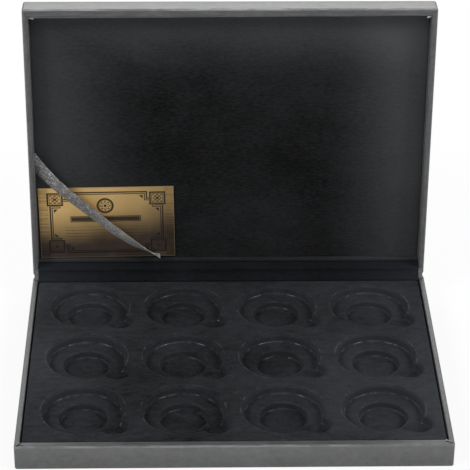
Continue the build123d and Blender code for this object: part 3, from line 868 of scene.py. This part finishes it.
# the middle of the ribbon, in mm: x, and the height above the lid's hinge edge
ribbon_line = [(-124.5, 83.0), (-119.8, 76.4), (-113.1, 67.8), (-106.4, 61.0), (-101.0, 55.7), (-95.2, 50.5),
               (-89.3, 45.3), (-83.5, 40.0), (-77.3, 34.4), (-70.9, 28.9), (-64.0, 23.4), (-57.2, 18.6),
               (-51.6, 15.3), (-47.0, 13.1), (-43.9, 11.8)]
# at shares of its length, how much of its width lies flat, and how deep in the lid it lies, in mm
flat_width = [(0, 9.0), (0.15, 8.6), (0.3, 8.2), (0.45, 7.8), (0.6, 7.4), (0.72, 7.2), (0.83, 6.0),
              (0.92, 3.8), (0.97, 1.8), (1.0, 0.2)]
ribbon_depth = [(0, 5.2), (0.3, 4.8), (0.6, 4.9), (0.85, 4.6), (1.0, 4.4)]


def between(share, stops):
    """Reads a value off a list of (share, value) stops, with a straight change between them."""
    for (a, low), (b, high) in zip(stops, stops[1:]):
        if share <= b:
            return low + (high - low) * (share - a) / (b - a)
    return stops[-1][1]


bpy.ops.curve.primitive_nurbs_path_add()
route = bpy.context.object
route.data.splines.clear()
spline = route.data.splines.new("NURBS")
spline.points.add(len(ribbon_line) - 1)
for point, (x, height) in zip(spline.points, ribbon_line):
    point.co = (x * mm, height * mm, 0, 1)
spline.order_u, spline.use_endpoint_u, spline.resolution_u = 4, True, 24
traced = bpy.data.meshes.new_from_object(route.evaluated_get(bpy.context.evaluated_depsgraph_get()))
trace = [v.co.xy.copy() for v in traced.vertices]
bpy.data.objects.remove(route)
run = [0.0]
for a, b in zip(trace, trace[1:]):
    run.append(run[-1] + (b - a).length)
ribbon_length = run[-1]
bpy.ops.mesh.primitive_grid_add(x_subdivisions=220, y_subdivisions=16, size=1)
ribbon = settle(bpy.context.object, "corner_ribbon")


def on_route(share):
    """The route's point and direction at a share of its length."""
    goal = share * ribbon_length
    i = max(1, next((k for k, at in enumerate(run) if at >= goal), len(run) - 1))
    t = (goal - run[i - 1]) / (run[i] - run[i - 1])
    return trace[i - 1].lerp(trace[i], t), (trace[i] - trace[i - 1]).normalized()


for point in ribbon.data.vertices:
    t, v = point.co.x + 0.5, point.co.y
    middle, along = on_route(t)
    slant = math.acos(min(1.0, between(t, flat_width) * mm / drawn_width))
    bow = 0.9 * mm * (1 - (2 * v) ** 2) * math.cos(slant)
    across_ribbon = v * drawn_width
    flat = middle + Vector((-along.y, along.x)) * (across_ribbon * math.cos(slant))
    crinkle = 0.12 * mm * math.sin(t * 37 + v * 5) * math.sin(t * 90 + 1)
    depth = between(t, ribbon_depth) * mm - across_ribbon * math.sin(slant) * 0.62 - bow + crinkle
    point.co = (flat.x, hinge_y - flat.y, lid_rim_z + depth)
cut_away(ribbon, (-inner_half_width - 0.05 * mm, 0, 0), (-1, 0, 0))
cut_away(ribbon, (0, hinge_y - ledge_foot - ledge_height - 0.4 * mm, 0), (0, 1, 0))
finish_with(ribbon, "SOLIDIFY", thickness=ribbon_thickness, offset=0.0)
smooth(ribbon, 40)
swing_open(ribbon)
satin = Finish("ribbon_satin", specular_ior_level=0.5)
weave_uv = satin.node("ShaderNodeUVMap", {"uv_map": ribbon.data.uv_layers[0].name}, {})
weave = satin.stretched(weave_uv, (ribbon_length, ribbon_width, 1))
u, v, _ = satin.axes(weave)
woven = 0.5 + 0.5 * u.sum("SINE", u * (math.tau / (0.6 * mm))) * v.sum("SINE", v * (math.tau / (0.5 * mm)))
fleck = satin.node("ShaderNodeTexVoronoi", {"feature": "F1"},
                   {"Vector": weave, "Scale": 1 / (0.62 * mm)}, "Color")
knot = satin.axes(fleck)[0]
dull_thread = satin.noise(weave, 1.6 * mm, 3.0, 0.75)
spark = (knot - 0.92).ramp(0.0, 0.05)
light_end = u.ramp(0.4 * ribbon_length, 0.75 * ribbon_length, 0.0, 0.35)
weave_tone = 0.8 * knot + 0.2 * woven + 0.4 * (dull_thread - 0.5) + light_end
satin_tone = satin.mix(weave_tone, grey(0.03, 0.02), grey(0.38, 0.02))
ribbon.data.materials.append(satin.feed(
    base_color=satin.mix(spark, satin_tone, grey(0.75)),
    metallic=spark * 0.5,
    roughness=0.5 - 0.2 * spark,
    normal=satin.bump(woven + 0.5 * knot, 0.08 * mm),
))
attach(ribbon, "lid")
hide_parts("card_ribbon")

# ---- floor, light and camera --------------------------------------------------------------------
# A pale table under a white surround. A wide soft lamp stands behind and above the case, and two
# smaller ones in front of it, to the left and to the right.
bpy.ops.mesh.primitive_plane_add(size=8, location=(0, 0, -0.1 * mm))
floor = settle(bpy.context.object, "floor")
paper = Finish("floor_paper", roughness=0.8, specular_ior_level=0.2)
white_share = 0.88               # of the floor as it is seen; the rest keeps the shadow
path = paper.tree.nodes.new("ShaderNodeLightPath")
seen = Socket(paper, path.outputs["Is Camera Ray"]).most(Socket(paper, path.outputs["Is Glossy Ray"]))
white = paper.node("ShaderNodeEmission", {}, {"Color": (1, 1, 1, 1), "Strength": 1.0})
paper.shader.inputs["Base Color"].default_value = (0.9, 0.9, 0.9, 1)
lit = Socket(paper, paper.shader.outputs[0])
both = paper.node("ShaderNodeMixShader", {}, {0: seen * white_share, 1: lit, 2: white})
paper.tree.links.new(both.output, paper.tree.nodes["Material Output"].inputs["Surface"])
floor.data.materials.append(paper.material)

surround_light, surround_seen = 0.45, 1.0
world = bpy.data.worlds.new("surround")
world.use_nodes = True
bpy.context.scene.world = world
sky = world.node_tree
light_path = sky.nodes.new("ShaderNodeLightPath")
level = sky.nodes.new("ShaderNodeMix")
level.inputs[2].default_value, level.inputs[3].default_value = surround_light, surround_seen
sky.links.new(light_path.outputs["Is Camera Ray"], level.inputs[0])
sky.links.new(level.outputs[0], sky.nodes["Background"].inputs["Strength"])
sky.nodes["Background"].inputs["Color"].default_value = (1, 1, 1, 1)


def soft_lamp(name, place, aim, size, power):
    """A rectangular soft lamp, turned to a point."""
    light = bpy.data.lights.new(name, "AREA")
    light.shape, light.size, light.size_y, light.energy = "RECTANGLE", *size, power
    lamp = bpy.data.objects.new(name, light)
    lamp.location = place
    lamp.rotation_euler = (Vector(aim) - Vector(place)).to_track_quat("-Z", "Y").to_euler()
    bpy.context.collection.objects.link(lamp)


soft_lamp("lamp_back", (0, 1.75, 1.0), (0, 0.1, 0.2), (1.8, 0.7), 18)
soft_lamp("lamp_left", (-1.1, -0.7, 1.25), (0, 0, 0.08), (0.5, 0.5), 11)
soft_lamp("lamp_right", (1.2, -0.6, 1.2), (0, 0, 0.08), (0.5, 0.5), 11)

camera = bpy.data.objects.new("camera", bpy.data.cameras.new("camera"))
bpy.context.collection.objects.link(camera)
focal_share = 2096.69 / 470           # focal length as a share of the frame's width
camera.data.sensor_width = 36
camera.data.lens = focal_share * camera.data.sensor_width
camera.data.clip_start, camera.data.clip_end = 0.01, 50
camera.location = (-0.025754, -1.052683, 0.719221)
camera.rotation_euler = (
    Matrix.Rotation(math.radians(-1.4768), 3, "Z")
    @ Matrix.Rotation(math.radians(59.5422), 3, "X")
    @ Matrix.Rotation(math.radians(0.4875), 3, "Z")
).to_euler()
bpy.context.scene.camera = camera
bpy.context.scene.view_settings.view_transform = "Standard"
